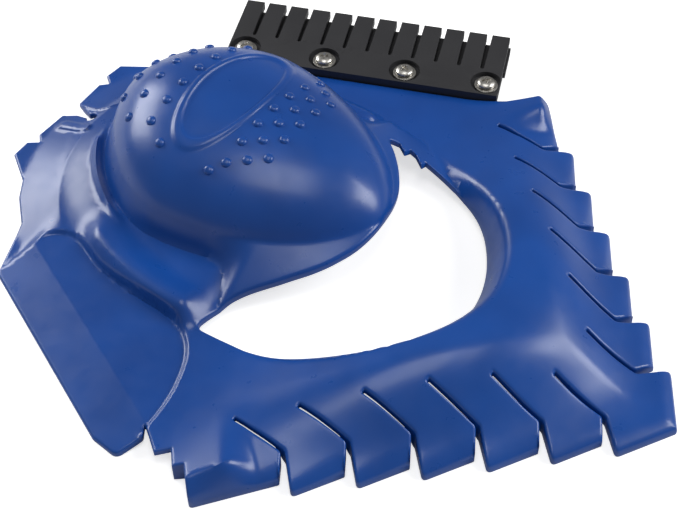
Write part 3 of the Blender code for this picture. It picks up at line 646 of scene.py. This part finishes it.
def feature_rows():
    """Rows of points along every crease, so that the mesh bends there and nowhere else."""
    grip = (GRIP_REAR, GRIP_FRONT, GRIP_HALF_WIDTH, GRIP_POWER)
    rows = level_rows((GRIP_X, GRIP_Y), *grip,
                      (0.86, 0.9, 0.93, 0.95, 0.965, GRIP_FOOT, 0.98, 1.0, 1.02, 1.04, 1.06, 1.08, 1.1,
                       NECK_RIDGE, 1.15, 1.17))
    rows += level_rows((RIDGE_X, 0.0), RIDGE_LENGTH, RIDGE_LENGTH, RIDGE_WIDTH, 2.0,
                       (0.8, 0.83, 0.86, 0.9, 0.94, 0.97, 1.0, 1.03, 1.06, 1.09, 1.11, 1.13))
    rows += level_rows(PANEL, PANEL_HALF[0], PANEL_HALF[0], PANEL_HALF[1], 2.0,
                       (0.74, 0.79, 0.81, 0.83, 0.845, 0.86, 0.9, 0.93, 0.95, 0.97, 0.985, 1.0, 1.03), 0.8)
    rows += line_rows(STEP_LINE, (-0.9, -0.4, 0.1, 0.5, 0.9, 1.4, 2.0))
    rows += line_rows(BLADE_CREASE, (-0.5, 0.0, 0.5))
    for line, half_width, _ in RIBS:
        edges = (half_width, half_width - 0.4, half_width - 0.8)
        rows += line_rows(line, [-e for e in edges] + list(edges), 0.8)
    circle = [(REAR_CREASE_X + REAR_CREASE_RADIUS * math.cos(a), REAR_CREASE_RADIUS * math.sin(a))
              for a in np.linspace(0.6 * math.pi, 1.4 * math.pi, 80)]
    rows += line_rows(circle, (-0.5, 0.0, 0.5))
    return rows


def spaced(rows, gap, clear):
    """The rows' points inside the sheet, clear of its border and of earlier rows."""
    kept = []
    for row in rows:
        row = row[in_sheet(row[:, 0], row[:, 1])]
        row = row[border_distance(row) > clear]
        if kept and len(row):
            near = search_tree(np.concatenate(kept))
            row = np.array([p for p in row if near.find((p[0], p[1], 0.0))[2] > gap]).reshape(-1, 2)
        kept.append(row)
    return kept


def field_points():
    """An even triangular field of points over the whole plan."""
    xs = np.arange(-140.0, 140.0, FIELD_STEP)
    ys = np.arange(-120.0, 120.0, FIELD_STEP * math.sqrt(3) / 2)
    grid_x, grid_y = np.meshgrid(xs, ys)
    grid_x = grid_x + (np.arange(len(ys)) % 2)[:, None] * FIELD_STEP / 2
    return np.stack([grid_x.ravel(), grid_y.ravel()], axis=1)


plan_rows = rim_points()
plan_features = spaced(feature_rows(), 0.35, RIM_ROWS[-1] + 0.3)
plan_field = spaced(plan_features + [field_points()], 0.85, RIM_ROWS[-1] + 0.4)[-1]
print("rim points:", sum(len(r) for r in plan_rows), "feature points:", sum(len(r) for r in plan_features),
      "field points:", len(plan_field))

# %% From drawing to object


def placed(x, y, z):
    """A drawing position in the shared frame, in metres."""
    return ((x + SHIFT[0]) * MM, (y + SHIFT[1]) * MM, z * MM)


def object_from(bm, name):
    """An object of this mesh, with its faces turned outward."""
    bmesh.ops.recalc_face_normals(bm, faces=bm.faces)
    mesh = bpy.data.meshes.new(name)
    bm.to_mesh(mesh)
    bm.free()
    obj = bpy.data.objects.new(name, mesh)
    bpy.context.scene.collection.objects.link(obj)
    return obj


# %% Triangulate and raise it


def loop_edges(start, count):
    return [(start + i, start + (i + 1) % count) for i in range(count)]


def triangulated(points, edges):
    """Points and faces that fill the plan and keep its edges."""
    found = delaunay_2d_cdt([Vector(p) for p in points], edges, [], 0, 1e-5)
    verts = np.array([tuple(v) for v in found[0]])
    faces = np.array([f for f in found[2] if len(f) == 3])
    centres = verts[faces].mean(axis=1)
    return verts, faces[in_sheet(centres[:, 0], centres[:, 1])]


def rim_drop(distance):
    """How far the rounded rim has fallen at a distance from the edge."""
    t = np.clip(1.0 - distance / RIM_RADIUS, 0.0, 1.0)
    return RIM_RADIUS * (1.0 - np.sqrt(1.0 - t * t))


def sheet_mesh(name):
    """The moulding as one closed thin solid: top, underside and the wall between."""
    points = np.concatenate([border] + plan_rows + plan_features + [plan_field])
    edges = loop_edges(0, len(outer_line)) + loop_edges(len(outer_line), len(inner_line))
    plan, faces = triangulated(points, edges)
    x, y = plan[:, 0], plan[:, 1]
    drop = rim_drop(border_distance(plan))
    low = underside_height(x, y)
    high = skin_height(x, y) + panel_relief(x, y) + rib_relief(x, y)
    high = high - np.minimum(drop, 0.6 * (high - low))
    bm = bmesh.new()
    top = [bm.verts.new(placed(px, py, pz)) for px, py, pz in zip(x, y, high)]
    base = [bm.verts.new(placed(px, py, pz)) for px, py, pz in zip(x, y, low)]
    for a, b, c in faces:
        bm.faces.new((top[a], top[b], top[c]))
        bm.faces.new((base[c], base[b], base[a]))
    bm.edges.ensure_lookup_table()
    index = {v: i for i, v in enumerate(top)}
    rim = [e for e in bm.edges if len(e.link_faces) == 1 and e.verts[0] in index]
    for edge in rim:
        a, b = (index[v] for v in edge.verts)
        bm.faces.new((top[a], top[b], base[b], base[a]))
    bmesh.ops.delete(bm, geom=[v for v in bm.verts if not v.link_faces], context="VERTS")
    obj = object_from(bm, name)
    obj.data.shade_smooth()
    obj.data.set_sharp_from_angle(angle=math.radians(50.0))
    return obj


body = sheet_mesh("moulded_body")
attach(body, "root")
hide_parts("scraper_body")
print("body faces:", len(body.data.polygons))

# %% [markdown]
# ## Grip dots
# Small round dots stand on the palm grip in staggered rows, either side of the oval. Each is a low dome of
# revolution set square to the surface, so one helper can lay them all out from rows and a pitch.

# %% Grip dots
DOT_RADIUS, DOT_HEIGHT, DOT_PITCH = 1.85, 1.15, 9.6
DOT_ROWS = ((-28.7, -4.4, 5), (-34.6, -9.2, 6), (-40.6, -14.0, 7), (-75.8, -13.8, 7), (-87.2, -13.8, 6),
            (-98.6, -4.0, 6), (-105.0, 10.4, 3))
LONE_DOTS = ((-44.6, -19.2), (-67.0, -19.6))
DOT_SIDES = 20
DOT_PROFILE = ((1.12, -0.35), (1.0, 0.12), (0.93, 0.45), (0.76, 0.75), (0.5, 0.93), (0.22, 1.0))


def surface_frame(x, y):
    """Place and square axes of the outer surface at a plan position, in millimetres."""
    near = 0.5
    h = skin_height(np.array([x, x + near, x - near, x, x]), np.array([y, y, y, y + near, y - near]))
    normal = Vector((-(h[1] - h[2]) / (2 * near), -(h[3] - h[4]) / (2 * near), 1.0)).normalized()
    across = normal.cross(Vector((1.0, 0.0, 0.0))).normalized()
    return Vector((x, y, h[0])), normal, across, normal.cross(across)


def grip_dots():
    """All the dots in one object, and how many there are."""
    bm = bmesh.new()
    places = [(x, y0 + k * DOT_PITCH) for x, y0, count in DOT_ROWS for k in range(count)]
    places += LONE_DOTS
    for x, y in places:
        place, normal, across, up = surface_frame(x, y)
        rings = []
        for radius, height in DOT_PROFILE:
            ring = []
            for i in range(DOT_SIDES):
                a = 2 * math.pi * i / DOT_SIDES
                p = place + (across * math.cos(a) + up * math.sin(a)) * radius * DOT_RADIUS
                p = p + normal * height * DOT_HEIGHT
                ring.append(bm.verts.new(placed(*p)))
            rings.append(ring)
        for lower, upper in zip(rings, rings[1:]):
            for i in range(DOT_SIDES):
                j = (i + 1) % DOT_SIDES
                bm.faces.new((lower[i], lower[j], upper[j], upper[i]))
        bm.faces.new(rings[-1])
        bm.faces.new(list(reversed(rings[0])))
    obj = object_from(bm, "grip_dots")
    obj.data.shade_smooth()
    return obj, len(places)


dots, dot_count = grip_dots()
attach(dots, "root")
print("grip dots:", dot_count)

# %% [markdown]
# ## Blue plastic
# The body is glossy injection-moulded plastic. Its colour is nearly even, with faint flow clouds. Fine polish
# marks and a shallow waviness in the surface break the reflections, as they do on any real moulding.

# %% Blue plastic


def noise(material, scale, detail=2.0, coordinates="Object", stretch=(1, 1, 1)):
    """A noise pattern's value, fixed to the piece."""
    place = add_node(material, "ShaderNodeTexCoord")
    sized = add_node(material, "ShaderNodeMapping",
                     [("Vector", place.outputs[coordinates]), ("Scale", stretch)])
    return add_node(material, "ShaderNodeTexNoise",
                    [("Vector", sized.outputs[0]), ("Scale", scale), ("Detail", detail)]).outputs["Fac"]


def remap(material, value, low, high, to_low, to_high):
    """The value moved from one range to another."""
    return add_node(material, "ShaderNodeMapRange", [
        ("Value", value), ("From Min", low), ("From Max", high), ("To Min", to_low), ("To Max", to_high)
    ]).outputs["Result"]


def blue_plastic():
    material, shader = new_material("moulded_blue", (0.006, 0.062, 0.3), 0.3)
    shader.inputs["Coat Weight"].default_value = 0.25
    shader.inputs["Coat Roughness"].default_value = 0.18
    clouds = noise(material, 28.0)
    tint = add_node(material, "ShaderNodeMix", [
        (0, remap(material, clouds, 0.35, 0.65, 0.0, 1.0)),
        (6, (0.005, 0.060, 0.30, 1)), (7, (0.007, 0.076, 0.365, 1))
    ], data_type="RGBA")
    links = material.node_tree.links
    links.new(tint.outputs[2], shader.inputs["Base Color"])
    rough = remap(material, noise(material, 160.0, 4.0), 0.3, 0.7, 0.27, 0.36)
    links.new(rough, shader.inputs["Roughness"])
    waves = add_node(material, "ShaderNodeBump", [
        ("Strength", 0.12), ("Distance", 0.0006), ("Height", noise(material, 45.0, 1.0))])
    grain = add_node(material, "ShaderNodeBump", [
        ("Strength", 0.06), ("Distance", 0.00008), ("Height", noise(material, 1600.0, 2.0)),
        ("Normal", waves.outputs[0])])
    links.new(grain.outputs[0], shader.inputs["Normal"])
    return material


BLUE = blue_plastic()
body.data.materials.append(BLUE)
dots.data.materials.append(BLUE)
print("material:", BLUE.name)

# %% [markdown]
# ## Comb, strip and fasteners
# The comb is a thick black plate with a saw-cut between every two teeth. It has pockets for its washers, and
# every edge is broken by a small bevel. The strip under it keeps its engineering solid. The screws are
# button heads with a cross recess, on plain washers.

# %% Sizes of the comb and its fasteners
COMB_TOP = COMB_Z + COMB_THICK
TOOTH_DEPTH, TOOTH_ROOT_GAP = 21.7, 1.6
SCREWS, SCREW_U, SCREW_SPACING, SCREW_V = 4, 7.0, 33.9, -29.6
POCKET_RADIUS, POCKET_DEPTH = 6.45, 2.3
BORE_RADIUS, SHANK_RADIUS = 2.2, 1.9
WASHER_RADIUS, WASHER_THICK = 4.75, 0.9
HEAD_RADIUS, HEAD_HEIGHT = 3.7, 2.2
POCKET_FLOOR = COMB_TOP - POCKET_DEPTH
HEAD_LOW = POCKET_FLOOR + WASHER_THICK + 2 * FIT

# %% Solid helpers


def turned(name, centre, profile, segments=48):
    """Closed solid of revolution; the profile is (radius, height) from axis to axis, or a closed ring."""
    bm = bmesh.new()
    hollow = all(radius > 0 for radius, _ in profile)
    rings = []
    for radius, z in profile:
        count = segments if radius > 0 else 1
        rings.append([bm.verts.new(placed(centre[0] + radius * math.cos(2 * math.pi * i / segments),
                                          centre[1] + radius * math.sin(2 * math.pi * i / segments), z))
                      for i in range(count)])
    for lower, upper in zip(rings, rings[1:] + (rings[:1] if hollow else [])):
        for i in range(segments):
            j = (i + 1) % segments
            quad = [lower[i % len(lower)], lower[j % len(lower)],
                    upper[j % len(upper)], upper[i % len(upper)]]
            bm.faces.new(list(dict.fromkeys(quad)))
    return object_from(bm, name)


def prism(name, outline, low, high):
    """A flat outline raised between two heights."""
    bm = bmesh.new()
    rings = [[bm.verts.new(placed(x, y, z)) for x, y in outline] for z in (low, high)]
    bm.faces.new(rings[0])
    bm.faces.new(rings[1])
    for i in range(len(outline)):
        j = (i + 1) % len(outline)
        bm.faces.new((rings[0][i], rings[0][j], rings[1][j], rings[1][i]))
    return object_from(bm, name)


def cut_and_bevel(obj, cutters, width, segments=2):
    """Cuts the solid, breaks its sharp edges, and bakes both into its mesh."""
    for cutter in cutters:
        mod = obj.modifiers.new("cut", "BOOLEAN")
        mod.operation, mod.solver, mod.object = "DIFFERENCE", "EXACT", cutter
    mod = obj.modifiers.new("bevel", "BEVEL")
    mod.width, mod.segments = width * MM, segments
    mod.limit_method, mod.angle_limit = "ANGLE", math.radians(40)
    mesh = bpy.data.meshes.new_from_object(obj.evaluated_get(bpy.context.evaluated_depsgraph_get()))
    obj.modifiers.clear()
    obj.data = mesh
    for cutter in cutters:
        bpy.data.objects.remove(cutter)
    mesh.shade_smooth()
    mesh.set_sharp_from_angle(angle=math.radians(30.0))
    return obj


def take_place(obj, node):
    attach(obj, "root")
    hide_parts(node)


# %% Comb


def comb_outline():
    """The comb from above, with a round-ended cut between every two teeth."""
    points = [(0.0, -COMB_DEPTH), (COMB_WIDTH, -COMB_DEPTH)]
    root = TOOTH_ROOT_GAP / 2
    for k in reversed(range(COMB_TEETH)):
        start = k * COMB_PITCH
        points += [(start + TOOTH_WIDTH, 0.0), (start, 0.0)]
        if k:
            middle = start - (COMB_PITCH - TOOTH_WIDTH) / 2
            points += [(middle + root * math.cos(math.pi * i / 8),
                        -TOOTH_DEPTH + root - root * math.sin(math.pi * i / 8)) for i in range(9)]
    return [comb_point(u, v) for u, v in points]


def disc(centre, radius, low, high):
    return turned("cutter", centre, [(0, low), (radius, low), (radius, high), (0, high)])


screw_places = [comb_point(SCREW_U + k * SCREW_SPACING, SCREW_V) for k in range(SCREWS)]
comb = prism("toothed_comb", comb_outline(), COMB_Z, COMB_TOP)
cutters = [disc(p, POCKET_RADIUS, POCKET_FLOOR, COMB_TOP + 2.0) for p in screw_places]
cutters += [disc(p, BORE_RADIUS, COMB_Z - 1.0, COMB_TOP) for p in screw_places]
cut_and_bevel(comb, cutters, 0.25)
take_place(comb, "ice_comb")
print("comb faces:", len(comb.data.polygons))

# %% Washers and screws
HEAD_PROFILE = [(HEAD_RADIUS * math.cos(a), HEAD_LOW + 0.6 + (HEAD_HEIGHT - 0.6) * math.sin(a))
                for a in np.linspace(0.0, 1.35, 9)]
RECESS_DEPTH, RECESS_ARM, RECESS_WIDTH = 1.5, 2.15, 0.9


def cross_cutter(centre, turn, z):
    """A cross recess that narrows downward."""
    bm = bmesh.new()
    rings = []
    for height, share in ((z - RECESS_DEPTH, 0.5), (z + 0.5, 1.1)):
        arm, half = RECESS_ARM * share, RECESS_WIDTH / 2 * (0.6 + 0.4 * share)
        ring = []
        for i in range(4):
            for along, across in ((half, -half), (arm, -half), (arm, half)):
                a = turn + i * math.pi / 2
                x = centre[0] + along * math.cos(a) - across * math.sin(a)
                y = centre[1] + along * math.sin(a) + across * math.cos(a)
                ring.append(bm.verts.new(placed(x, y, height)))
        rings.append(ring)
    bm.faces.new(rings[0])
    bm.faces.new(rings[1])
    for i in range(12):
        j = (i + 1) % 12
        bm.faces.new((rings[0][i], rings[0][j], rings[1][j], rings[1][i]))
    return object_from(bm, "cutter")


fasteners = []
for k, p in enumerate(screw_places, start=1):
    low = POCKET_FLOOR + FIT
    washer = turned(f"flat_washer_{k}", p,
                    [(BORE_RADIUS, low), (WASHER_RADIUS, low),
                     (WASHER_RADIUS, low + WASHER_THICK), (BORE_RADIUS, low + WASHER_THICK)])
    cut_and_bevel(washer, [], 0.12)
    take_place(washer, f"washer_{k}")
    shank = [(0, 0.4), (SHANK_RADIUS * 0.6, 0.4), (SHANK_RADIUS, 1.2), (SHANK_RADIUS, HEAD_LOW),
             (HEAD_RADIUS, HEAD_LOW)]
    screw = turned(f"cross_screw_{k}", p, shank + HEAD_PROFILE + [(0, HEAD_LOW + HEAD_HEIGHT)])
    cut_and_bevel(screw, [cross_cutter(p, 0.3 + 0.9 * k, HEAD_LOW + HEAD_HEIGHT)], 0.06, 1)
    take_place(screw, f"screw_{k}")
    fasteners += [washer, screw]
print("fasteners:", len(fasteners))

# %% Dark plastic and steel
DARK, dark_shader = new_material("grained_black", (0.028, 0.028, 0.031), 0.55)
DARK.node_tree.links.new(remap(DARK, noise(DARK, 60.0, 3.0), 0.3, 0.7, 0.48, 0.62),
                         dark_shader.inputs["Roughness"])
dark_bump = add_node(DARK, "ShaderNodeBump", [
    ("Strength", 0.25), ("Distance", 0.00006), ("Height", noise(DARK, 2600.0, 2.0))])
DARK.node_tree.links.new(dark_bump.outputs[0], dark_shader.inputs["Normal"])
STEEL, steel_shader = new_material("zinc_steel", (0.62, 0.6, 0.56), 0.3, 1.0)
STEEL.node_tree.links.new(remap(STEEL, noise(STEEL, 900.0, 3.0), 0.3, 0.7, 0.24, 0.42),
                          steel_shader.inputs["Roughness"])
strip = bpy.data.objects["blade_strip"]
for obj, finish in [(comb, DARK), (strip, DARK)] + [(piece, STEEL) for piece in fasteners]:
    obj.data.materials.clear()
    obj.data.materials.append(finish)
print("finished:", comb.name, strip.name, len(fasteners), "fasteners")
